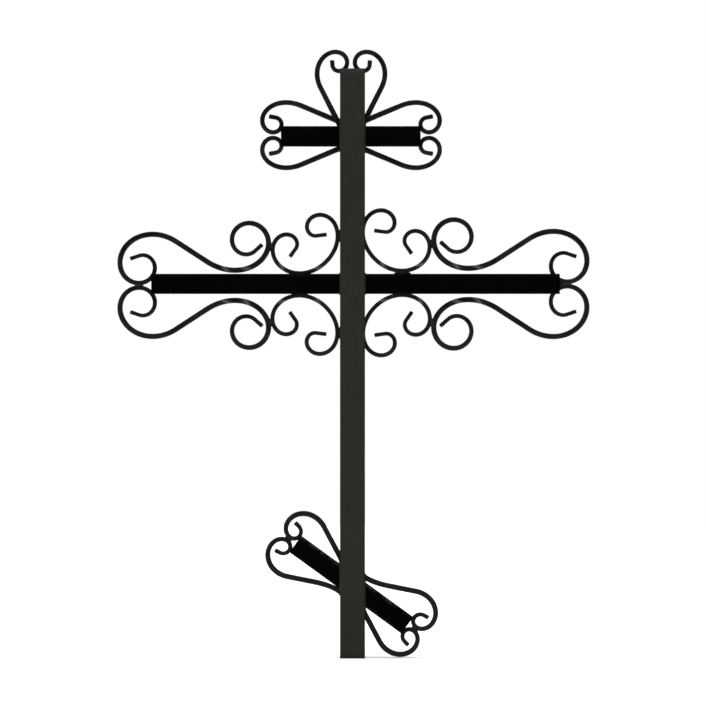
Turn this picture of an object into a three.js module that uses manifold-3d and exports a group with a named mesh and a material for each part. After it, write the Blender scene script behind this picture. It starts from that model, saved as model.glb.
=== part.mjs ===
import * as THREE from 'three';
import { mergeVertices } from 'three/addons/utils/BufferGeometryUtils.js';
import Module from 'manifold-3d';

// Wrought iron grave cross: a square tube post, three tube crossbars butted to its sides
// (title bar, main bar and slanting foot bar), and scrolls bent from square bar and welded on.
// Millimetres, +Z up, front towards -Y. The origin is the middle of the post's foot.

// Square tubes
const postWidth = 50;
const postHeight = 1178;
const barWidth = 40;
const tubeCorner = 3;
const cornerSteps = 3;

// Crossbars: height of the middle on the post's centre line, reach of each end from that line
const titleBar = { height: 1043, left: 143, right: 136, tilt: 0 };
const mainBar = { height: 748, left: 402, right: 414, tilt: 0 };
const footBar = { height: 145, left: 141, right: 135, tilt: 36 };

// The scrollwork is centred a little to the left of the post, as the cross was set out by hand
const scrollShift = -3;

// Clearance left at each joint, and the longest turn between two sections of a bent bar
const weldGap = 0.3;
const turnStep = 13;

// A scroll is one bar bent cold: straight runs, and bends that turn (degrees, positive to the
// left) while the radius goes from one value to the other. The stock is the bar's full width,
// and a tip is drawn down from it to the given width over the given length.
const sScroll = {
  stock: 10,
  firstTip: { width: 7.5, drawn: 190 },
  lastTip: { width: 7, drawn: 190 },
  line: [
    { run: 19.5 },
    { turn: 323.6, from: 25.7, to: 44.8 },
    { turn: 110.9, from: 44.8, to: 124.4 },
    { run: 75.8 },
    { turn: -147.2, from: 96.9, to: 42.1 },
    { turn: -264.5, from: 42.1, to: 21.9 },
    { run: 18.5 },
  ],
};
const cScroll = {
  stock: 8,
  firstTip: { width: 7, drawn: 60 },
  lastTip: { width: 7, drawn: 60 },
  line: [
    { run: 20.5 },
    { turn: 237, from: 14.3, to: 37.3 },
    { turn: 79.5, from: 37.3, to: 91 },
    { turn: 181, from: 91, to: 29.8 },
    { turn: 175, from: 29.8, to: 15 },
    { run: 19 },
  ],
};
const crownScroll = {
  stock: 10,
  lastTip: { width: 8, drawn: 240 },
  line: [
    { run: 94 },
    { turn: 153, from: 66.5, to: 22 },
    { turn: 230, from: 22, to: 11.5 },
    { run: 8.5 },
  ],
};
const titleScroll = {
  stock: 10,
  lastTip: { width: 8, drawn: 240 },
  line: [
    { run: 110 },
    { turn: -95, from: 90, to: 28.5 },
    { turn: -180, from: 28.5, to: 14.5 },
    { turn: -98, from: 14.5, to: 14 },
    { run: 12 },
  ],
};

// The slanting foot bar makes a sharp and a wide angle with the post on each side. The scrolls in
// the wide angles are bent back at the root to meet the post; the curls at the ends are alike.
const footCurl = [
  { turn: -123, from: 55.5, to: 30 },
  { turn: -120, from: 30, to: 13 },
  { turn: -134, from: 13, to: 15.5 },
  { run: 9 },
];
const footScrolls = {
  sharp: {
    stock: 10,
    lastTip: { width: 7.6, drawn: 130 },
    line: [{ run: 119 }, ...footCurl],
  },
  wide: {
    stock: 10,
    lastTip: { width: 7.6, drawn: 130 },
    line: [{ turn: 30, from: 45, to: 230 }, { run: 56 }, ...footCurl],
  },
};

// Where each scroll starts (out from the scrollwork's centre line, up or down from its bar's
// middle), the way it sets off (degrees), how large it came out against the pattern, and how
// far a pair sits above its bar's middle
const sPlaces = {
  upper_right: { out: 179.5, up: 83.5, heading: -41.6, size: 1 },
  lower_right: { out: 179.3, up: 83.7, heading: -41.6, size: 1 },
  upper_left: { out: 178.4, up: 77.9, heading: -41.5, size: 0.97 },
  lower_left: { out: 178.3, up: 83.7, heading: -41.5, size: 0.97 },
};
const cPlaces = {
  upper_right: { out: 47.6, up: 106.6, heading: -7.6, size: 1.01 },
  lower_right: { out: 48.2, up: 102.3, heading: -7.6, size: 1.01 },
  upper_left: { out: 49.9, up: 98.6, heading: -7, size: 0.98 },
  lower_left: { out: 50.5, up: 100.5, heading: -7, size: 0.98 },
};
const crownPlace = { out: 18.5, up: 14, heading: 63.1, size: 1, lift: 0 };
const titlePlace = { out: -2, up: 16.2, heading: 22.8, size: 1, lift: 2.5 };
const footPlaces = {
  sharp: { out: 5.1, up: 7.9, heading: 25.9, size: 1, lift: 1.5 },
  wide: { out: 5, up: 26.5, heading: -5.3, size: 1, lift: 1.5 },
};

// The crown's curls are let into the top of the post; its roots are cut to the shaft below them
const shaftHeight = 1120;

const sides = [['left', -1], ['right', 1]];
const levels = [['upper', 1], ['lower', -1]];

const wasm = await Module();
wasm.setup();

// Closed solid of a geometry
function solidOf(geometry) {
  const plain = geometry.clone();
  plain.deleteAttribute('normal');
  plain.deleteAttribute('uv');
  const merged = mergeVertices(plain, 1e-4);
  return new wasm.Manifold(new wasm.Mesh({
    numProp: 3,
    vertProperties: new Float32Array(merged.attributes.position.array),
    triVerts: new Uint32Array(merged.index.array),
  }));
}

function geometryOf(solid) {
  const { vertProperties, triVerts } = solid.getMesh();
  const geometry = new THREE.BufferGeometry();
  geometry.setAttribute('position', new THREE.BufferAttribute(vertProperties, 3));
  geometry.setIndex(new THREE.BufferAttribute(triVerts, 1));
  geometry.computeVertexNormals();
  return geometry;
}

// Rounded square tube standing on z = 0, closed at both ends
function tubeGeometry(width, length, corner) {
  const half = width / 2;
  const outline = new THREE.Shape();
  outline.absarc(half - corner, half - corner, corner, 0, Math.PI / 2);
  outline.absarc(corner - half, half - corner, corner, Math.PI / 2, Math.PI);
  outline.absarc(corner - half, corner - half, corner, Math.PI, 1.5 * Math.PI);
  outline.absarc(half - corner, corner - half, corner, 1.5 * Math.PI, 2 * Math.PI);
  return new THREE.ExtrudeGeometry(outline, {
    depth: length,
    bevelEnabled: false,
    curveSegments: cornerSteps,
  });
}

// Arm of a crossbar, from the post's centre line outwards
function armSolid(bar, reach, side, growth = 0) {
  const tilt = THREE.MathUtils.degToRad(bar.tilt);
  const geometry = tubeGeometry(barWidth + 2 * growth, reach, tubeCorner);
  geometry.rotateY(side * Math.PI / 2);
  geometry.rotateY(tilt);
  geometry.translate(0, 0, bar.height);
  return solidOf(geometry);
}

// Stations along a scroll's centre line. Round a bend the radius grows in proportion to itself,
// so the offset is the integral of from * e^(grow * angle) along the turning heading.
function layOut(line, { out, up, heading: firstHeading, size }) {
  let x = out;
  let z = up;
  let heading = THREE.MathUtils.degToRad(firstHeading);
  let length = 0;
  const stations = [{ x, z, heading, length }];
  const addStation = (forward, sideways, angle, travelled) => {
    stations.push({
      x: x + size * (forward * Math.cos(heading) - sideways * Math.sin(heading)),
      z: z + size * (forward * Math.sin(heading) + sideways * Math.cos(heading)),
      heading: heading + angle,
      length: length + size * travelled,
    });
  };
  for (const { run, turn, from, to } of line) {
    if (run) {
      addStation(run, 0, 0, run);
    } else {
      const hand = Math.sign(turn);
      const whole = THREE.MathUtils.degToRad(Math.abs(turn));
      const grow = Math.log(to / from) / whole;
      const scale = 1 / (grow * grow + 1);
      const steps = Math.ceil(Math.abs(turn) / turnStep);
      for (let i = 1; i <= steps; i += 1) {
        const angle = whole * i / steps;
        const radius = from * Math.exp(grow * angle);
        const forward = scale * (radius * (grow * Math.cos(angle) + Math.sin(angle)) - from * grow);
        const sideways = scale * (radius * (grow * Math.sin(angle) - Math.cos(angle)) + from);
        addStation(forward, hand * sideways, hand * angle, (radius - from) / grow);
      }
    }
    ({ x, z, heading, length } = stations.at(-1));
  }
  return stations;
}

// Centre line through the stations, one section of the bar at each
class BarLine extends THREE.Curve {
  constructor(stations) {
    super();
    this.stations = stations;
  }

  station(t) {
    return this.stations[Math.round(t * (this.stations.length - 1))];
  }

  getPoint(t) {
    const { x, z } = this.station(t);
    return new THREE.Vector3(x, 0, z);
  }

  getTangent(t) {
    const { heading } = this.station(t);
    return new THREE.Vector3(Math.cos(heading), 0, Math.sin(heading));
  }

  getUtoTmapping(u) {
    return u;
  }
}

// Width of the bar at a distance along it, drawn down evenly towards each tip
function widthAt({ stock, firstTip, lastTip }, distance, whole) {
  const drawnTo = (tip, fromTip) => (
    tip ? THREE.MathUtils.lerp(tip.width, stock, Math.min(1, fromTip / tip.drawn)) : stock
  );
  return Math.min(drawnTo(firstTip, distance), drawnTo(lastTip, whole - distance));
}

// Square bar along the stations; each section is scaled about its own station to the drawn width
function scrollSolid(scroll, stations, growth = 0) {
  const half = scroll.stock / 2;
  const section = new THREE.Shape();
  section.moveTo(-half, -half);
  section.lineTo(half, -half);
  section.lineTo(half, half);
  section.lineTo(-half, half);
  section.closePath();
  const geometry = new THREE.ExtrudeGeometry(section, {
    steps: stations.length - 1,
    extrudePath: new BarLine(stations),
  });
  const whole = stations.at(-1).length;
  const position = geometry.attributes.position;
  for (let i = 0; i < position.count; i += 1) {
    const px = position.getX(i);
    const pz = position.getZ(i);
    const away = (s) => Math.hypot(s.x - px, s.z - pz);
    const near = stations.reduce((best, s) => (away(s) < away(best) ? s : best));
    const scale = (widthAt(scroll, near.length, whole) + growth) / scroll.stock;
    position.setXYZ(
      i,
      near.x + (px - near.x) * scale,
      position.getY(i) * scale,
      near.z + (pz - near.z) * scale,
    );
  }
  return solidOf(geometry);
}

// Stations of a scroll on its bar, turned over for its side and level
function onBar(stations, bar, side, level, lift = 0) {
  const tilt = THREE.MathUtils.degToRad(bar.tilt);
  return stations.map(({ x, z, heading, length }) => {
    const along = side * x + scrollShift;
    const across = level * z + lift;
    const ahead = Math.atan2(level * Math.sin(heading), side * Math.cos(heading));
    return {
      x: along * Math.cos(tilt) + across * Math.sin(tilt),
      z: bar.height - along * Math.sin(tilt) + across * Math.cos(tilt),
      heading: ahead - tilt,
      length,
    };
  });
}

// Scrolls, each with the slightly larger space that its neighbours leave for it
const scrolls = {};
function forge(name, scroll, place, bar, side, level) {
  const stations = onBar(layOut(scroll.line, place), bar, side, level, place.lift);
  scrolls[name] = {
    body: scrollSolid(scroll, stations),
    space: scrollSolid(scroll, stations, 2 * weldGap),
  };
}
for (const [sideName, side] of sides) {
  for (const [levelName, level] of levels) {
    const tag = `${levelName}_${sideName}`;
    const angle = side === level ? 'wide' : 'sharp';
    forge(`s_scroll_${tag}`, sScroll, sPlaces[tag], mainBar, side, level);
    forge(`c_scroll_${tag}`, cScroll, cPlaces[tag], mainBar, side, level);
    forge(`title_scroll_${tag}`, titleScroll, titlePlace, titleBar, side, level);
    forge(`foot_scroll_${tag}`, footScrolls[angle], footPlaces[angle], footBar, side, level);
  }
  forge(`crown_scroll_${sideName}`, crownScroll, crownPlace, titleBar, side, 1);
}

// Where a cut leaves a sliver on the far side of a neighbour, the sliver is thrown away
function largest(solid) {
  return solid.decompose().reduce((best, piece) => (piece.volume() > best.volume() ? piece : best));
}

function trim(name, neighbour) {
  const scroll = scrolls[name];
  scroll.body = largest(scroll.body.subtract(neighbour));
  scroll.space = largest(scroll.space.subtract(neighbour));
}

// Roots that run in to the post are cut to its sides, the crown's feet also to the title bar,
// and the upper title scrolls to the crown's feet
const shaftSpace = solidOf(tubeGeometry(postWidth + 2 * weldGap, shaftHeight, tubeCorner));
for (const [sideName, side] of sides) {
  const crown = `crown_scroll_${sideName}`;
  trim(crown, shaftSpace);
  trim(crown, armSolid(titleBar, titleBar[sideName], side, weldGap));
  trim(`title_scroll_upper_${sideName}`, scrolls[crown].space);
  for (const [levelName] of levels) {
    trim(`title_scroll_${levelName}_${sideName}`, shaftSpace);
    trim(`foot_scroll_${levelName}_${sideName}`, shaftSpace);
  }
}

// Tubes: the arms butt against the post, and each tube is slotted where a curl is let into it
const tubes = { post: solidOf(tubeGeometry(postWidth, postHeight, tubeCorner)) };
for (const [sideName, side] of sides) {
  for (const [barName, bar] of Object.entries({ title: titleBar, main: mainBar, foot: footBar })) {
    const arm = armSolid(bar, bar[sideName], side);
    tubes[`${barName}_bar_${sideName}`] = arm.subtract(shaftSpace);
  }
}
for (const name of Object.keys(tubes)) {
  for (const { space } of Object.values(scrolls)) {
    tubes[name] = tubes[name].subtract(space);
  }
}

// Finishes: charcoal paint on the post, deep black on the bars, satin black on the scrolls
const finishes = {
  post: { color: 0x2c2b27, roughness: 0.6, metalness: 0.2 },
  bar: { color: 0x060606, roughness: 0.5, metalness: 0.2 },
  scroll: { color: 0x191918, roughness: 0.45, metalness: 0.3 },
};

const cross = new THREE.Group();
function addPiece(name, solid, finish) {
  const piece = new THREE.Mesh(geometryOf(solid), new THREE.MeshStandardMaterial(finish));
  piece.name = name;
  cross.add(piece);
}
for (const [name, solid] of Object.entries(tubes)) {
  addPiece(name, solid, name === 'post' ? finishes.post : finishes.bar);
}
for (const [name, { body }] of Object.entries(scrolls)) {
  addPiece(name, body, finishes.scroll);
}

export default cross;
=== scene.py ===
import bpy
import numpy as np
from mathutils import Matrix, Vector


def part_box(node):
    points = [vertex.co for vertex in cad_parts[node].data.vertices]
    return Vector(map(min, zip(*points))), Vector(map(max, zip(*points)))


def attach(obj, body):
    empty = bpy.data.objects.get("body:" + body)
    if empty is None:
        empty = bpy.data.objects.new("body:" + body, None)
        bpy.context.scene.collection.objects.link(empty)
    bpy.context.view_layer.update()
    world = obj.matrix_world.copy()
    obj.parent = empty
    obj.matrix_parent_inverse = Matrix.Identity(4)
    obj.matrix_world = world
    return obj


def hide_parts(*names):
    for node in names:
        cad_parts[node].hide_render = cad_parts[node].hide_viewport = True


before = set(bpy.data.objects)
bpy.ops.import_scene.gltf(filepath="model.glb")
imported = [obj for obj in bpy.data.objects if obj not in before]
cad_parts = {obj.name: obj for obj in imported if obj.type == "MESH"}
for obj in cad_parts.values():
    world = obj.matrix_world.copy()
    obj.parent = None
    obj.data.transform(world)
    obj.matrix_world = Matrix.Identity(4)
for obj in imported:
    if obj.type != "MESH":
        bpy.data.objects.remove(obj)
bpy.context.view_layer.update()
mm = 0.001
sides = {"left": -1, "right": 1}
levels = {"upper": 1, "lower": -1}
print("frame loaded:", len(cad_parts), "nodes")

# the three square tubes' setting out, as the frame has it
cross = {
    "postHalf": 25 * mm,
    "postTop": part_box("post")[1].z,
    "barHalf": 20 * mm,
    "tubeCorner": 3 * mm,
    "tubeWall": 3 * mm,
    "scrollShift": -3 * mm,  # the scrollwork sits a little left of the post
}
# each bar's last figure: how strongly its arms' arrises are lightened, most on the upper side, a painted
# highlight of the light from above
bars = {
    "title": {"height": 1043 * mm, "left": 143 * mm, "right": 136 * mm, "tilt": 0, "wearAndSheen": 0.12},
    "main": {"height": 748 * mm, "left": 402 * mm, "right": 414 * mm, "tilt": 0, "wearAndSheen": 0.12},
    "foot": {"height": 145 * mm, "left": 141 * mm, "right": 135 * mm, "tilt": 36, "wearAndSheen": 1.0},
}


# Mesh helpers

def smoothStep(low, high, value):
    # 0 below low, 1 above high, and 3t^2 - 2t^3 between them
    t = np.clip((value - low) / (high - low), 0, 1)
    return t * t * (3 - 2 * t)


def wobble(distance, lengths, seed):
    # sum of one sine for each wavelength, each at its own phase, scaled to about -1 to 1
    phases = np.random.default_rng(seed).uniform(0, 2 * np.pi, len(lengths))
    waves = np.sin(2 * np.pi * np.asarray(distance)[..., None] / np.array(lengths) + phases)
    return waves.mean(-1)


def roundedSquare(corner, arcSteps, flatSteps):
    # complex outline of a square of half width 1: an arc of the corner radius and a flat, turned four times
    arc = (1 - corner) * (1 + 1j) + corner * np.exp(1j * np.linspace(0, np.pi / 2, arcSteps))
    flat = np.linspace(arc[-1], arc[0] * 1j, flatSteps + 2)[1:-1]
    quarter = np.concatenate([arc, flat])
    return (1j ** np.arange(4)[:, None] * quarter).ravel()


def arrisMask(outline):
    # 1 where both half widths are near full, which is only at the corners of the square
    return smoothStep(0.62, 0.95, np.minimum(np.abs(outline.real), np.abs(outline.imag)))


def gridFaces(rows, columns, joined):
    # quads between neighbouring rings; the last ring meets the first where the grid is joined
    i = np.arange(rows if joined else rows - 1)[:, None]
    j = np.arange(columns)[None, :]
    right, below = (j + 1) % columns, (i + 1) % rows
    corners = (i * columns + j, i * columns + right, below * columns + right, below * columns + j)
    return np.stack(corners, -1).reshape(-1, 4)


def shellFaces(rings, joined, start):
    # faces of one closed shell, turned round if the volume under its quads comes out negative
    rows, columns = rings.shape[:2]
    points = rings.reshape(-1, 3)
    quads = gridFaces(rows, columns, joined)
    caps = [] if joined else [np.arange(columns)[::-1], np.arange(columns) + (rows - 1) * columns]
    a, b, c, d = (points[quads[:, k]] - points.mean(0) for k in range(4))
    volume = (np.cross(a, b) * c).sum() + (np.cross(a, c) * d).sum()
    order = -1 if volume < 0 else 1
    return (quads[:, ::order] + start).tolist() + [(cap[::order] + start).tolist() for cap in caps]


def makePiece(name, shells, material, nodes=()):
    # a shell is (rings, joined, arris mask, spot mask): a grid of points and its two masks; the arris mask is
    # partly worn paint and partly painted highlight, the spot mask is painted highlight
    points, faces, edges, rubs = [], [], [], []
    start = 0
    for rings, joined, edge, glint in shells:
        grid = rings.shape[:2]
        faces += shellFaces(rings, joined, start)
        points.append(rings.reshape(-1, 3))
        edges.append(np.broadcast_to(edge, grid).ravel())
        rubs.append(np.broadcast_to(glint, grid).ravel())
        start += grid[0] * grid[1]
    mesh = bpy.data.meshes.new(name)
    mesh.from_pydata(np.concatenate(points).tolist(), [], faces)
    for label, values in (("edge", edges), ("glint", rubs)):
        layer = mesh.attributes.new(label, "FLOAT", "POINT")
        layer.data.foreach_set("value", np.concatenate(values).astype(np.float32))
    mesh.polygons.foreach_set("use_smooth", np.ones(len(mesh.polygons), bool))
    mesh.materials.append(material)
    piece = bpy.data.objects.new(name, mesh)
    bpy.context.scene.collection.objects.link(piece)
    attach(piece, "root")
    if nodes:
        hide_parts(*nodes)
    return piece


# Paint

def addNode(tree, kind, place=(0, 0), **values):
    node = tree.nodes.new(kind)
    node.location = place
    for key, value in values.items():
        if hasattr(node, key):
            setattr(node, key, value)
        else:
            node.inputs[key.replace("_", " ")].default_value = value
    return node


def newGroup(name, inputs, outputs):
    group = bpy.data.node_groups.new(name, "ShaderNodeTree")
    for label, kind, value in inputs:
        socket = group.interface.new_socket(label, in_out="INPUT", socket_type=kind)
        if value is not None:
            socket.default_value = value
    for label, kind in outputs:
        group.interface.new_socket(label, in_out="OUTPUT", socket_type=kind)
    return group, addNode(group, "NodeGroupInput", (-900, 0)), addNode(group, "NodeGroupOutput", (700, 0))


def makeBrushedPaint():
    # orange peel, brush sags and cloudy tone of hand-laid paint, from three noises of the place on the piece
    group, given, out = newGroup(
        "brushedPaint",
        [("Vector", "NodeSocketVector", None), ("Peel", "NodeSocketFloat", 260.0),
         ("Cloud", "NodeSocketFloat", 22.0)],
        [("Height", "NodeSocketFloat"), ("Tone", "NodeSocketFloat"), ("Dust", "NodeSocketFloat")])
    link = group.links.new
    peel = addNode(group, "ShaderNodeTexNoise", (-600, 200), Detail=3.0, Roughness=0.55)
    sag = addNode(group, "ShaderNodeTexNoise", (-600, -50), Scale=75.0, Detail=2.0)
    cloud = addNode(group, "ShaderNodeTexNoise", (-600, -300), Detail=5.0, Roughness=0.6)
    grit = addNode(group, "ShaderNodeTexVoronoi", (-600, -550), Scale=420.0)
    both = addNode(group, "ShaderNodeMath", (-300, 150), operation="MULTIPLY_ADD")
    both.inputs[1].default_value = 0.55
    speck = addNode(group, "ShaderNodeMapRange", (-300, -500))
    for label, value in (("From Min", 0.0), ("From Max", 0.16), ("To Min", 1.0), ("To Max", 0.0)):
        speck.inputs[label].default_value = value
    where = addNode(group, "ShaderNodeMapRange", (-300, -300))
    for label, value in (("From Min", 0.52), ("From Max", 0.72)):
        where.inputs[label].default_value = value
    dust = addNode(group, "ShaderNodeMath", (-50, -400), operation="MULTIPLY")
    for node in (peel, sag, cloud, grit):
        link(given.outputs["Vector"], node.inputs["Vector"])
    link(given.outputs["Peel"], peel.inputs["Scale"])
    link(given.outputs["Cloud"], cloud.inputs["Scale"])
    link(peel.outputs["Fac"], both.inputs[0])
    link(sag.outputs["Fac"], both.inputs[2])
    link(grit.outputs["Distance"], speck.inputs["Value"])
    link(cloud.outputs["Fac"], where.inputs["Value"])
    link(speck.outputs["Result"], dust.inputs[0])
    link(where.outputs["Result"], dust.inputs[1])
    link(both.outputs["Value"], out.inputs["Height"])
    link(cloud.outputs["Fac"], out.inputs["Tone"])
    link(dust.outputs["Value"], out.inputs["Dust"])
    return group


def makeWornAndSheenEdge():
    # arrises and spots marked from the piece's own masks, broken up by a noise: on the arrises partly paint
    # worn off and partly painted highlight, in the spots painted highlight
    group, given, out = newGroup(
        "wornAndSheenEdge",
        [("Vector", "NodeSocketVector", None), ("Edge", "NodeSocketFloat", 0.0),
         ("Glint", "NodeSocketFloat", 0.0), ("Amount", "NodeSocketFloat", 0.5)],
        [("SheenAndWear", "NodeSocketFloat")])
    link = group.links.new
    patch = addNode(group, "ShaderNodeTexNoise", (-600, 100), Scale=48.0, Detail=6.0, Roughness=0.65)
    streak = addNode(group, "ShaderNodeTexWave", (-600, -200), Scale=70.0, Distortion=4.0, Detail=2.0)
    edge = addNode(group, "ShaderNodeMath", (-350, 250), operation="MULTIPLY")
    broken = addNode(group, "ShaderNodeMapRange", (-350, 50))
    for label, value in (("From Min", 0.46), ("From Max", 0.66)):
        broken.inputs[label].default_value = value
    wornAndLit = addNode(group, "ShaderNodeMath", (-100, 150), operation="MULTIPLY")
    lined = addNode(group, "ShaderNodeMath", (-350, -200), operation="MULTIPLY_ADD")
    lined.inputs[1].default_value = 0.5
    lined.inputs[2].default_value = 0.5
    wearAndSheen = addNode(group, "ShaderNodeMath", (-100, -150), operation="MULTIPLY")
    total = addNode(group, "ShaderNodeMath", (200, 0), operation="ADD", use_clamp=True)
    link(given.outputs["Vector"], patch.inputs["Vector"])
    link(given.outputs["Vector"], streak.inputs["Vector"])
    link(given.outputs["Edge"], edge.inputs[0])
    link(given.outputs["Amount"], edge.inputs[1])
    link(patch.outputs["Fac"], broken.inputs["Value"])
    link(edge.outputs["Value"], wornAndLit.inputs[0])
    link(broken.outputs["Result"], wornAndLit.inputs[1])
    link(streak.outputs["Fac"], lined.inputs[0])
    link(given.outputs["Glint"], wearAndSheen.inputs[0])
    link(lined.outputs["Value"], wearAndSheen.inputs[1])
    link(wornAndLit.outputs["Value"], total.inputs[0])
    link(wearAndSheen.outputs["Value"], total.inputs[1])
    link(total.outputs["Value"], out.inputs["SheenAndWear"])
    return group


brushedPaint = makeBrushedPaint()
wornAndSheenEdge = makeWornAndSheenEdge()


def makePaint(name, look):
    # paint whose colour drifts between two tones, goes to the arris and spot colour where the masks fall,
    # partly worn paint and partly painted highlight, and is greyed by dust
    material = bpy.data.materials.new(name)
    material.use_nodes = True
    tree = material.node_tree
    link = tree.links.new
    shader = tree.nodes["Principled BSDF"]
    coords = addNode(tree, "ShaderNodeTexCoord", (-1300, 0))
    coat = addNode(tree, "ShaderNodeGroup", (-1000, 150), node_tree=brushedPaint)
    coat.inputs["Peel"].default_value = look["peel"]
    coat.inputs["Cloud"].default_value = look["cloud"]
    edge = addNode(tree, "ShaderNodeAttribute", (-1300, -250), attribute_name="edge")
    glint = addNode(tree, "ShaderNodeAttribute", (-1300, -450), attribute_name="glint")
    rubs = addNode(tree, "ShaderNodeGroup", (-1000, -250), node_tree=wornAndSheenEdge)
    rubs.inputs["Amount"].default_value = look["edgeWearAndSheen"]
    tone = addNode(tree, "ShaderNodeMapRange", (-750, 300))
    tone.inputs["From Min"].default_value = 0.35
    tone.inputs["From Max"].default_value = 0.65
    drift = addNode(tree, "ShaderNodeMix", (-500, 250), data_type="RGBA")
    wornAndLit = addNode(tree, "ShaderNodeMix", (-250, 200), data_type="RGBA")
    dusty = addNode(tree, "ShaderNodeMix", (0, 150), data_type="RGBA")
    for node, first, second in ((drift, "dark", "light"), (wornAndLit, None, "wearAndSheen"), (dusty, None, "dust")):
        if first:
            node.inputs["A"].default_value = (*look[first], 1)
        node.inputs["B"].default_value = (*look[second], 1)
    gloss = addNode(tree, "ShaderNodeMapRange", (-250, -150))
    for label, value in (("From Min", 0.35), ("From Max", 0.65), ("To Min", look["rough"][0]),
                         ("To Max", look["rough"][1])):
        gloss.inputs[label].default_value = value
    bump = addNode(tree, "ShaderNodeBump", (0, -300))
    bump.inputs["Strength"].default_value = look["bump"]
    bump.inputs["Distance"].default_value = 0.4 * mm
    link(coords.outputs["Object"], coat.inputs["Vector"])
    link(coords.outputs["Object"], rubs.inputs["Vector"])
    link(edge.outputs["Fac"], rubs.inputs["Edge"])
    link(glint.outputs["Fac"], rubs.inputs["Glint"])
    link(coat.outputs["Tone"], tone.inputs["Value"])
    link(tone.outputs["Result"], drift.inputs["Factor"])
    link(drift.outputs["Result"], wornAndLit.inputs["A"])
    link(rubs.outputs["SheenAndWear"], wornAndLit.inputs["Factor"])
    link(wornAndLit.outputs["Result"], dusty.inputs["A"])
    link(coat.outputs["Dust"], dusty.inputs["Factor"])
    link(dusty.outputs["Result"], shader.inputs["Base Color"])
    link(coat.outputs["Tone"], gloss.inputs["Value"])
    link(gloss.outputs["Result"], shader.inputs["Roughness"])
    link(coat.outputs["Height"], bump.inputs["Height"])
    link(bump.outputs["Normal"], shader.inputs["Normal"])
    shader.inputs["Specular IOR Level"].default_value = look["shine"]
    return material


charcoalPaint = makePaint("charcoalPaint", {
    "dark": (0.0182, 0.0174, 0.0142), "light": (0.0222, 0.0213, 0.0176),
    "wearAndSheen": (0.009, 0.009, 0.008), "dust": (0.04, 0.038, 0.033),
    "rough": (0.62, 0.78), "shine": 0.06, "bump": 0.25, "edgeWearAndSheen": 0.35, "peel": 340.0, "cloud": 14.0,
})
# the pale arris colour here is a painted highlight on the arms' upper arrises
deepBlackPaint = makePaint("deepBlackPaint", {
    "dark": (0.0004, 0.0004, 0.0004), "light": (0.0010, 0.0010, 0.0009),
    "wearAndSheen": (0.045, 0.045, 0.042), "dust": (0.004, 0.004, 0.004),
    "rough": (0.5, 0.68), "shine": 0.01, "bump": 0.25, "edgeWearAndSheen": 1.0, "peel": 300.0, "cloud": 18.0,
})
# the pale arris colour here is partly worn paint and partly painted highlight on the scrolls, and painted
# highlight in their spots
satinBlackPaint = makePaint("satinBlackPaint", {
    "dark": (0.0012, 0.0012, 0.0012), "light": (0.0065, 0.0065, 0.0061),
    "wearAndSheen": (0.13, 0.129, 0.124), "dust": (0.03, 0.03, 0.028),
    "rough": (0.3, 0.48), "shine": 0.14, "bump": 0.35, "edgeWearAndSheen": 0.6, "peel": 420.0, "cloud": 30.0,
})
print("paints made")


# Tubes

tube = {"step": 12 * mm, "arcSteps": 7, "flatSteps": 9, "dent": 0.12 * mm, "capSeam": 0.35 * mm}
tubeOutline = roundedSquare(cross["tubeCorner"] / cross["barHalf"], tube["arcSteps"], tube["flatSteps"])
postOutline = roundedSquare(cross["tubeCorner"] / cross["postHalf"], tube["arcSteps"], tube["flatSteps"])


def capRings(half):
    # closing plate: the rim rolls over, a shallow ground seam runs inside it, then the plate is flat
    wall = cross["tubeWall"]
    inset = np.array([0.25 * mm, 0.8 * mm, wall - 0.5 * mm, wall, wall + 0.5 * mm, half * 0.5, half * 0.97])
    sunk = np.array([0.05 * mm, 0.2 * mm, 0.2 * mm, 0.2 * mm + tube["capSeam"], 0.2 * mm, 0.2 * mm, 0.2 * mm])
    return 1 - inset / half, sunk


def tubeShell(outline, half, reach, foot, axes, origin, seed, wearAndSheen):
    # rounded square carried from the foot (a plane that may lean) to the far end, closed by the cap's rings
    along, across, depth = axes
    share = np.linspace(0, 1, int(reach / tube["step"]) + 2)
    scale, sunk = capRings(half)
    sizes = np.concatenate([np.ones(len(share)), scale])[:, None]
    section = outline[None, :] * half * sizes
    dents = tube["dent"] * wobble(share[:, None] * reach + section[:1].imag, (0.31, 0.17, 0.11), seed)
    dents = np.concatenate([dents * np.sin(np.pi * share)[:, None], np.zeros((len(scale), outline.size))])
    section = section * (1 - np.abs(dents) / half)
    start = foot(section.real)
    far = np.concatenate([np.zeros(len(share)), sunk])[:, None]
    run = start + (reach - start) * np.concatenate([share, np.ones(len(scale))])[:, None] - far
    rings = origin + run[..., None] * along + section.real[..., None] * across
    rings = rings + section.imag[..., None] * depth
    upper = 0.25 + 0.75 * smoothStep(0, 0.5, outline.real)  # the mask is strongest on the +across side: on an arm these are its upper arrises, lightened as a painted highlight of the light from above; on the post they are its +x arrises
    edge = wearAndSheen * np.broadcast_to(arrisMask(outline) * upper, run.shape)
    return rings, False, edge, 0.0


xAxis, yAxis, zAxis = np.eye(3)
postShell = tubeShell(postOutline, cross["postHalf"], cross["postTop"], lambda across: 0 * across,
                      (zAxis, xAxis, yAxis), 0 * xAxis, 3, 1.0)
makePiece("post_tube", [postShell], charcoalPaint, ["post"])


def armAxes(bar, side):
    # outward along the bar, and square to it in the cross's plane
    tilt = np.radians(bar["tilt"])
    outward = side * np.array([np.cos(tilt), 0, -np.sin(tilt)])
    square = np.array([np.sin(tilt), 0, np.cos(tilt)])
    return outward, square


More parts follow.
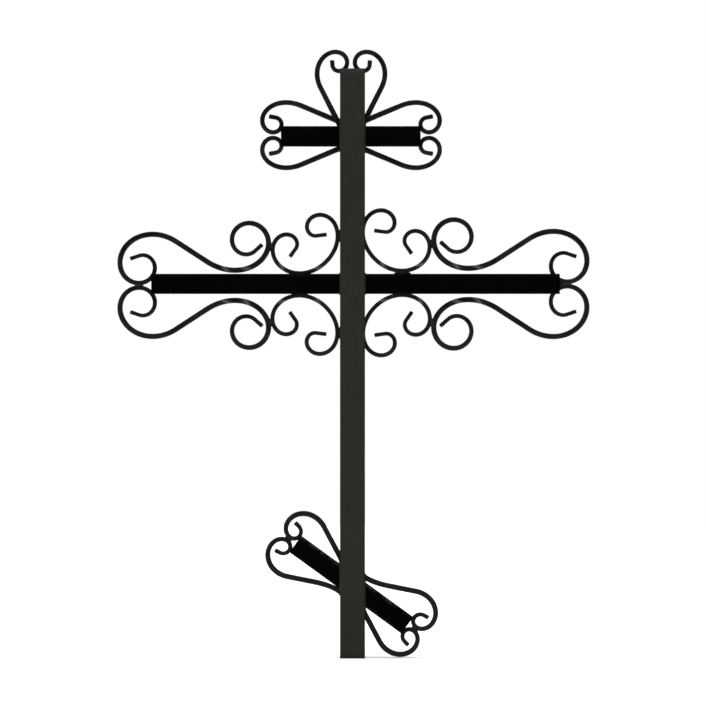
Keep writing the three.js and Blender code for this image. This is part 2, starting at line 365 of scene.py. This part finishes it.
for barName, bar in bars.items():
    for sideName, side in sides.items():
        outward, square = armAxes(bar, side)
        wallFoot = lambda across, o=outward, s=square: (
            (cross["postHalf"] - np.abs(o[0]) / o[0] * s[0] * across) / np.abs(o[0]))
        armShell = tubeShell(tubeOutline, cross["barHalf"], bar[sideName], wallFoot,
                             (outward, square, yAxis), bar["height"] * zAxis, len(barName) + side,
                             bar["wearAndSheen"])
        node = f"{barName}_bar_{sideName}"
        makePiece(f"{node}_tube", [armShell], deepBlackPaint, [node])
print("tubes made")


# Scrolls

# runs in millimetres; bends turn in degrees, left positive, while the radius goes from one value to the other
footCurl = [("turn", -123, 55.5, 30), ("turn", -120, 30, 13), ("turn", -134, 13, 15.5), ("run", 9)]
# each scroll's list of shares after its tips places its painted highlight spots along its length
scrolls = {
    "s": {"stock": 10, "firstTip": (7.5, 190), "lastTip": (7, 190), "rubs": (0.362, 0.418),
          "line": [("run", 19.5), ("turn", 323.6, 25.7, 44.8), ("turn", 110.9, 44.8, 124.4), ("run", 75.8),
                   ("turn", -147.2, 96.9, 42.1), ("turn", -264.5, 42.1, 21.9), ("run", 18.5)]},
    "c": {"stock": 8, "firstTip": (7, 60), "lastTip": (7, 60), "rubs": (0.505, 0.675),
          "line": [("run", 20.5), ("turn", 237, 14.3, 37.3), ("turn", 79.5, 37.3, 91),
                   ("turn", 181, 91, 29.8), ("turn", 175, 29.8, 15), ("run", 19)]},
    "crown": {"stock": 10, "lastTip": (8, 240), "rubs": (),
              "line": [("run", 94), ("turn", 153, 66.5, 22), ("turn", 230, 22, 11.5), ("run", 8.5)]},
    "title": {"stock": 10, "lastTip": (8, 240), "rubs": (),
              "line": [("run", 110), ("turn", -95, 90, 28.5), ("turn", -180, 28.5, 14.5),
                       ("turn", -98, 14.5, 14), ("run", 12)]},
    "sharp": {"stock": 10, "lastTip": (7.6, 130), "rubs": (), "line": [("run", 119), *footCurl]},
    "wide": {"stock": 10, "lastTip": (7.6, 130), "rubs": (),
             "line": [("turn", 30, 45, 230), ("run", 56), *footCurl]},
}
# start out and up from the bar's middle (mm), heading (degrees), size against the pattern, and
# lift of the pair (mm)
places = {
    "s_upper_right": (179.5, 83.5, -41.6, 1, 0), "s_lower_right": (179.3, 83.7, -41.6, 1, 0),
    "s_upper_left": (178.4, 77.9, -41.5, 0.97, 0), "s_lower_left": (178.3, 83.7, -41.5, 0.97, 0),
    "c_upper_right": (47.6, 106.6, -7.6, 1.01, 0), "c_lower_right": (48.2, 102.3, -7.6, 1.01, 0),
    "c_upper_left": (49.9, 98.6, -7, 0.98, 0), "c_lower_left": (50.5, 100.5, -7, 0.98, 0),
    "crown": (18.5, 14, 63.1, 1, 0), "title": (-2, 16.2, 22.8, 1, 2.5),
    "sharp": (5.1, 7.9, 25.9, 1, 1.5), "wide": (5, 26.5, -5.3, 1, 1.5),
}
forging = {
    "step": 2.0,  # mm between sections
    "arris": 0.3,  # corner radius against the half width
    "keystone": 0.35,  # how much the inside of a bend swells
    "spread": 1.07,  # how much hammering and paint widen the bar
    "waver": 0.012,  # unevenness of the width
    "facet": 0.022,  # depth of the hammer flats on a drawn tip
    "twistWaves": (170, 96, 61),  # mm
    "widthWaves": (41, 23, 13),  # mm
    "flatPitch": 9,  # mm between hammer flats
    "flareLength": 9,  # mm
    "twist": 1.6,  # degrees the bar leans to and fro
    "flare": 0.08,  # how much the cut end is upset
    "glintLength": 5.5,  # mm, half length of a painted highlight spot
    "glintLean": 1.3,  # how far a painted highlight spot leans along the bar
}
barOutline = roundedSquare(forging["arris"], 5, 4)


def bendLine(line, out, up, heading, size):
    # a run goes straight on; a bend's radius grows as from * e^(grow * angle), so its offset is the complex
    # integral from * (e^((grow + i hand) angle) - 1) / (grow + i hand), turned to the heading it starts with
    point, ahead = complex(out, up), np.exp(1j * np.radians(heading))
    centres, headings, curves = [np.array([point])], [np.array([ahead])], [np.zeros(1)]
    for kind, amount, *radii in line:
        if kind == "run":
            travel = np.linspace(0, amount, int(amount / forging["step"]) + 2)[1:]
            centre = point + size * travel * ahead
            turned, curve = np.full(travel.size, ahead), np.zeros(travel.size)
        else:
            hand, whole = np.sign(amount), np.radians(abs(amount))
            grow = np.log(radii[1] / radii[0]) / whole
            steps = int((radii[1] - radii[0]) / grow / forging["step"]) + 2
            angle = np.linspace(0, whole, steps)[1:]
            rate = complex(grow, hand)
            centre = point + size * radii[0] * (np.exp(rate * angle) - 1) / rate * ahead
            turned, curve = ahead * np.exp(1j * hand * angle), hand / (radii[0] * np.exp(grow * angle) * size)
        centres.append(centre)
        headings.append(turned)
        curves.append(curve)
        point, ahead = centre[-1], turned[-1]
    return np.concatenate(centres), np.concatenate(headings), np.concatenate(curves)


def drawnWidth(scroll, travel):
    # full stock, drawn down evenly to the tip's width over the tip's length
    width = np.full(travel.size, float(scroll["stock"]))
    for tip, fromTip in ((scroll.get("firstTip"), travel), (scroll.get("lastTip"), travel[-1] - travel)):
        if tip:
            width = np.minimum(width, tip[0] + (scroll["stock"] - tip[0]) * np.minimum(1, fromTip / tip[1]))
    return width


def layScroll(kind, place, bar, side, level):
    # centre line in metres in the cross's plane (x + iz), turned over for its side and level, set on its bar
    scroll = scrolls[kind]
    out, up, heading, size, lift = places[place]
    centre, ahead, curve = bendLine(scroll["line"], out, up, heading, size)
    travel = np.concatenate([[0], np.cumsum(np.abs(np.diff(centre)))])
    turnBar = np.exp(-1j * np.radians(bar["tilt"]))
    flip = lambda z: side * z.real + 1j * level * z.imag
    middle = (flip(centre) + 1j * lift) * mm + cross["scrollShift"]
    return {
        "scroll": scroll,
        "centre": middle * turnBar + 1j * bar["height"],
        "ahead": flip(ahead) * turnBar,
        "curve": side * level * curve / mm,
        "travel": travel,
        "half": drawnWidth(scroll, travel) * mm / 2,
    }


def cutAt(path, keep):
    # path without its stations before the first one that is kept
    first = int(np.argmax(keep))
    return {key: value[first:] if isinstance(value, np.ndarray) else value for key, value in path.items()}


def toSpace(flat, depth=0.0):
    # x + iz in the cross's plane, and a depth, as points
    flat, depth = np.broadcast_arrays(flat, depth)
    return np.stack([flat.real, depth, flat.imag], -1)


def barShell(path, seed):
    # softened square carried along the centre line: it wavers in width, leans to and fro, swells on the
    # inside of a bend and is faceted on the drawn tips; three rings round over the cut at both ends
    travel, half = path["travel"], path["half"]
    drawn = 1 - half / half.max()
    swing = np.radians(forging["twist"]) * wobble(travel, forging["twistWaves"], seed)
    uneven = wobble(travel, forging["widthWaves"], seed + 1)
    width = half * forging["spread"] * (1 + forging["waver"] * uneven)
    blows = np.abs(np.sin(np.pi * travel / forging["flatPitch"] + seed))
    flats = forging["facet"] * np.minimum(1, 5 * drawn) * blows
    width = width * (1 - flats)
    fromEnd = np.minimum(travel - travel[0], travel[-1] - travel)
    width = width * (1 + forging["flare"] * np.exp(-(fromEnd / forging["flareLength"]) ** 2))
    capSize = np.array([0.5, 0.8, 0.94])
    capOut = np.array([0.42, 0.33, 0.16])
    size = np.concatenate([capSize, np.ones(travel.size), capSize[::-1]])
    push = np.concatenate([-capOut, np.zeros(travel.size), capOut[::-1]]) * half.min()
    stretch = lambda values: np.concatenate([np.repeat(values[:1], 3), values, np.repeat(values[-1:], 3)])
    outline = barOutline[None, :] * np.exp(1j * stretch(swing))[:, None]
    ahead = stretch(path["ahead"])
    span = (stretch(width) * size)[:, None]
    across = outline.real * span
    swell = 1 + forging["keystone"] * stretch(path["curve"])[:, None] * across
    depth = outline.imag * span * swell
    flat = (stretch(path["centre"]) + push * ahead)[:, None] + across * (1j * ahead)[:, None]
    # arris mask on the arrises and both cut ends: partly worn paint, partly painted highlight
    edge = np.broadcast_to(arrisMask(barOutline), across.shape).copy()
    edge[:3] = edge[-3:] = 1
    # spot mask: painted highlights leaning across the bar at the given shares of its length
    along = stretch(travel)[:, None] + forging["glintLean"] * across / mm
    glint = sum((np.exp(-((along - share * travel[-1]) / forging["glintLength"]) ** 2)
               for share in path["scroll"]["rubs"]), np.zeros(across.shape))
    return toSpace(flat, depth), False, edge, 0.9 * glint


paths = {}
for sideName, side in sides.items():
    for levelName, level in levels.items():
        tag = f"{levelName}_{sideName}"
        angle = "wide" if side == level else "sharp"
        paths[f"s_scroll_{tag}"] = layScroll("s", f"s_{tag}", bars["main"], side, level)
        paths[f"c_scroll_{tag}"] = layScroll("c", f"c_{tag}", bars["main"], side, level)
        paths[f"title_scroll_{tag}"] = layScroll("title", "title", bars["title"], side, level)
        paths[f"foot_scroll_{tag}"] = layScroll(angle, angle, bars["foot"], side, level)
    paths[f"crown_scroll_{sideName}"] = layScroll("crown", "crown", bars["title"], side, 1)

rootDepth = 6 * mm  # how far a root runs on inside the post's wall
for number, (name, path) in enumerate(paths.items()):
    if name.split("_")[0] in ("title", "foot", "crown"):
        path = cutAt(path, np.abs(path["centre"].real) > cross["postHalf"] - rootDepth)
    makePiece(f"{name}_bar", [barShell(path, 10 * number)], satinBlackPaint, [name])
print("scrolls made:", len(paths))


# Welds

weld = {"ripple": 0.09, "ripplePitch": 2.2 * mm, "around": 14, "loopRadius": 2.0 * mm, "uneven": 0.08}
# half length, rise off the joint and half depth of each kind of bead
beads = {
    "scrollPair": (9 * mm, 1.7 * mm, 3.6 * mm),
    "postTouch": (13 * mm, 2.4 * mm, 4.2 * mm),
    "postEntry": (9 * mm, 2.0 * mm, 4.4 * mm),
    "barCorner": (6 * mm, 2.6 * mm, 4.0 * mm),
    "sEnds": (9 * mm, 2.2 * mm, 3.6 * mm),
    "footEnds": (8 * mm, 2.2 * mm, 3.6 * mm),
    "crownRoot": (9 * mm, 3.0 * mm, 4.2 * mm),
    "rightEnd": (9 * mm, 4.2 * mm, 4.4 * mm),
}
belly = {"reach": 17 * mm, "leastRise": 2.2 * mm, "overlap": 1.6 * mm, "depth": 4.2 * mm}
endReach = 100 * mm  # curls further out than this belong to the end of a bar
rightEndOut = 5 * mm  # how far past the bar's right end its bead is centred


def lumpShell(middle, ahead, reach, rise, depth, seed):
    # bead laid along a joint: an ellipsoid whose girth is rippled by the weld pool and a little uneven
    share = np.linspace(-0.995, 0.995, max(15, int(reach / weld["ripplePitch"]) * 6))
    pool = 1 + weld["ripple"] * np.abs(np.sin(np.pi * share * reach / weld["ripplePitch"]))
    girth = np.sqrt(1 - share ** 2) ** 0.8 * pool * (1 + weld["uneven"] * wobble(share, (1.3, 0.6), seed))
    circle = np.exp(2j * np.pi * np.arange(weld["around"]) / weld["around"])
    flat = (middle + share * reach * ahead)[:, None] + (1j * ahead * rise) * girth[:, None] * circle.real
    return toSpace(flat, depth * girth[:, None] * circle.imag), False, 0.0, 0.0


def loopShell(points, normal, radius, seed):
    # bead run round a joint: a rippled circle carried along the closed path, in the frame of path and wall
    forward = np.roll(points, -1, 0) - np.roll(points, 1, 0)
    forward /= np.linalg.norm(forward, axis=1, keepdims=True)
    beside = np.cross(forward, normal)
    travel = np.concatenate([[0], np.cumsum(np.linalg.norm(np.diff(points, axis=0), axis=1))])
    pool = 1 + weld["ripple"] * np.abs(np.sin(np.pi * travel / weld["ripplePitch"])) + 0.07 * wobble(
        travel, (0.019, 0.011), seed)
    circle = np.exp(2j * np.pi * np.arange(weld["around"]) / weld["around"])
    turn = (radius * pool)[:, None] * circle
    rings = points[:, None] + turn.real[..., None] * normal + turn.imag[..., None] * beside[:, None]
    return rings, True, 0.0, 0.0


def alongOutline(outline, spacing):
    # outline resampled at even spacing, so that the ripples keep their pitch
    closed = np.append(outline, outline[:1])
    travel = np.concatenate([[0], np.cumsum(np.abs(np.diff(closed)))])
    at = np.arange(int(travel[-1] / spacing)) * spacing
    return np.interp(at, travel, closed.real) + 1j * np.interp(at, travel, closed.imag)


def meeting(one, other):
    # middle of the closest approach of two centre lines, and the way the first one runs there
    apart = np.abs(one["centre"][:, None] - other["centre"][None, :])
    i, j = np.unravel_index(apart.argmin(), apart.shape)
    return (one["centre"][i] + other["centre"][j]) / 2, one["ahead"][i]


def rootLoop(path, seed):
    # bead round a root: the bar's outline slid along its own heading until it lies in the post's wall
    wall = np.sign(path["centre"][-1].real) * cross["postHalf"]
    at = int(np.argmax(np.abs(path["centre"].real) > cross["postHalf"]))
    centre, ahead, half = path["centre"][at], path["ahead"][at], path["half"][at]
    outline = alongOutline(barOutline * half, 0.5 * mm)
    flat = centre + outline.real * 1j * ahead
    flat = flat + (wall - flat.real) / ahead.real * ahead
    return loopShell(toSpace(flat, outline.imag), np.sign(wall) * xAxis, weld["loopRadius"], seed)


def armLoop(bar, side, seed):
    # bead round an arm's butt against the post: the tube's outline in the wall's plane
    outward, square = armAxes(bar, side)
    outline = alongOutline(tubeOutline * cross["barHalf"], 0.6 * mm)
    run = (cross["postHalf"] - side * square[0] * outline.real) / abs(outward[0])
    points = (bar["height"] * zAxis + run[:, None] * outward + outline.real[:, None] * square
              + outline.imag[:, None] * yAxis)
    return loopShell(points, side * xAxis, weld["loopRadius"], seed)


titleWelds, mainWelds, footWelds = [], [], []
for sideName, side in sides.items():
    crown = paths[f"crown_scroll_{sideName}"]
    titleWelds.append(armLoop(bars["title"], side, 1))
    mainWelds.append(armLoop(bars["main"], side, 2))
    footWelds.append(armLoop(bars["foot"], side, 3))
    titleWelds.append(rootLoop(crown, 4))
    for levelName, level in levels.items():
        tag = f"{levelName}_{sideName}"
        titleWelds.append(rootLoop(paths[f"title_scroll_{tag}"], 5))
        footWelds.append(rootLoop(paths[f"foot_scroll_{tag}"], 6))
        sPath, cPath = paths[f"s_scroll_{tag}"], paths[f"c_scroll_{tag}"]
        middle, ahead = meeting(sPath, cPath)
        mainWelds.append(lumpShell(middle, ahead, *beads["scrollPair"], 7))
        # belly of the C on the bar
        low = int(np.argmin(level * (cPath["centre"].imag - bars["main"]["height"])))
        face = bars["main"]["height"] + level * cross["barHalf"]
        under = cPath["centre"][low].imag - level * cPath["half"][low]
        seat = cPath["centre"][low].real + 0.5j * (face + under)
        rise = max(belly["leastRise"], abs(face - under) / 2 + belly["overlap"])
        mainWelds.append(lumpShell(seat, 1 + 0j, belly["reach"], rise, belly["depth"], 8))
        # back of the C on the post
        inside = np.abs(cPath["centre"].real) - cross["postHalf"]
        near = int(np.argmin(inside))
        if inside[near] > 0:
            post = side * cross["postHalf"] + 1j * cPath["centre"][near].imag
            mainWelds.append(lumpShell(post, 1j, *beads["postTouch"], 9))
        else:
            for at in np.flatnonzero(np.diff(np.sign(inside))):
                post = side * cross["postHalf"] + 1j * cPath["centre"][at].imag
                mainWelds.append(lumpShell(post, 1j, *beads["postEntry"], 10))
        # curls against the corners of the bar ends
        for barName, kind, shells in (("title", "title", titleWelds), ("foot", "foot", footWelds)):
            bar, path = bars[barName], paths[f"{kind}_scroll_{tag}"]
            outward, square = armAxes(bar, side)
            corner = bar[sideName] * outward + level * cross["barHalf"] * square + bar["height"] * zAxis
            corner = corner[0] + 1j * corner[2]
            near = int(np.argmin(np.abs(path["centre"] - corner)))
            touch = (path["centre"][near] + corner) / 2
            shells.append(lumpShell(touch, path["ahead"][near], *beads["barCorner"], 11))
    for kind, shells in (("s", mainWelds), ("foot", footWelds)):
        upper, lower = paths[f"{kind}_scroll_upper_{sideName}"], paths[f"{kind}_scroll_lower_{sideName}"]
        ends = []
        for path in (upper, lower):
            outside = np.abs(path["centre"].real) > endReach
            ends.append({"centre": path["centre"][outside], "ahead": path["ahead"][outside]})
        middle, ahead = meeting(*ends)
        shells.append(lumpShell(middle, ahead, *beads[f"{kind}Ends"], 12))
    middle, ahead = meeting(crown, paths[f"title_scroll_upper_{sideName}"])
    titleWelds.append(lumpShell(middle, ahead, *beads["crownRoot"], 13))
# on the right the end of the main bar is filled up to the pair of curls
rightEnd = bars["main"]["right"] + rightEndOut + 1j * bars["main"]["height"]
mainWelds.append(lumpShell(rightEnd, 1 + 0j, *beads["rightEnd"], 14))
makePiece("title_welds", titleWelds, satinBlackPaint)
makePiece("main_welds", mainWelds, satinBlackPaint)
makePiece("foot_welds", footWelds, satinBlackPaint)
print("welds made:", len(titleWelds) + len(mainWelds) + len(footWelds))


# Stage

view = {
    "pixels": 706,
    "pixelSize": 2 * mm,  # what one pixel spans in the plane of the scrolls
    "footPixel": (352.5, 657.9),  # where the middle of the post's foot stands
    "lens": 300,
    "sensor": 36,
}
middle = view["pixels"] / 2
footX, footY = view["footPixel"]
lookAt = ((middle - footX) * view["pixelSize"], (footY - middle) * view["pixelSize"])
distance = view["pixels"] * view["pixelSize"] * view["lens"] / view["sensor"]
cameraData = bpy.data.cameras.new("camera")
cameraData.lens = view["lens"]
cameraData.sensor_width = view["sensor"]
cameraData.clip_end = 100
camera = bpy.data.objects.new("camera", cameraData)
camera.location = (lookAt[0], -distance, lookAt[1])
camera.rotation_euler = (np.pi / 2, 0, 0)
bpy.context.scene.collection.objects.link(camera)
bpy.context.scene.camera = camera
bpy.context.scene.view_settings.view_transform = "Standard"

stage = {"floorReach": 9, "floorTone": 0.95, "floorRough": 0.9, "surround": 0.1, "backdrop": 1.0}
reach = stage["floorReach"]
floorMesh = bpy.data.meshes.new("floor")
floorCorners = [(-reach, -reach, 0), (reach, -reach, 0), (reach, reach, 0), (-reach, reach, 0)]
floorMesh.from_pydata(floorCorners, [], [(0, 1, 2, 3)])
floor = bpy.data.objects.new("floor", floorMesh)
bpy.context.scene.collection.objects.link(floor)
floorPaint = bpy.data.materials.new("paleFloor")
floorPaint.use_nodes = True
floorShader = floorPaint.node_tree.nodes["Principled BSDF"]
floorShader.inputs["Base Color"].default_value = (*[stage["floorTone"]] * 3, 1)
floorShader.inputs["Roughness"].default_value = stage["floorRough"]
floorMesh.materials.append(floorPaint)

# how far round from the front and how high each soft light stands (degrees), and its strength
lights = {
    "top": {"round": -20, "high": 84, "strength": 3.6, "spread": 50},
    "key": {"round": -35, "high": 42, "strength": 1.0, "spread": 60},
    "back": {"round": 160, "high": 40, "strength": 0.8, "spread": 60},
}
for name, light in lights.items():
    data = bpy.data.lights.new(name, "SUN")
    data.energy = light["strength"]
    data.angle = np.radians(light["spread"])
    lamp = bpy.data.objects.new(name, data)
    lamp.rotation_euler = (np.radians(90 - light["high"]), 0, np.radians(light["round"]))
    lamp.location = (0, 0, 3)
    bpy.context.scene.collection.objects.link(lamp)

# the camera sees plain white; the surfaces see a softer grey surround
world = bpy.data.worlds.new("studio")
bpy.context.scene.world = world
world.use_nodes = True
sky = world.node_tree
surround = sky.nodes["Background"]
surround.inputs["Color"].default_value = (1, 1, 1, 1)
surround.inputs["Strength"].default_value = stage["surround"]
backdrop = addNode(sky, "ShaderNodeBackground", (0, 200))
backdrop.inputs["Color"].default_value = (1, 1, 1, 1)
backdrop.inputs["Strength"].default_value = stage["backdrop"]
seen = addNode(sky, "ShaderNodeLightPath", (0, 500))
choose = addNode(sky, "ShaderNodeMixShader", (250, 100))
sky.links.new(seen.outputs["Is Camera Ray"], choose.inputs["Fac"])
sky.links.new(surround.outputs["Background"], choose.inputs[1])
sky.links.new(backdrop.outputs["Background"], choose.inputs[2])
sky.links.new(choose.outputs["Shader"], sky.nodes["World Output"].inputs["Surface"])
print("stage set")
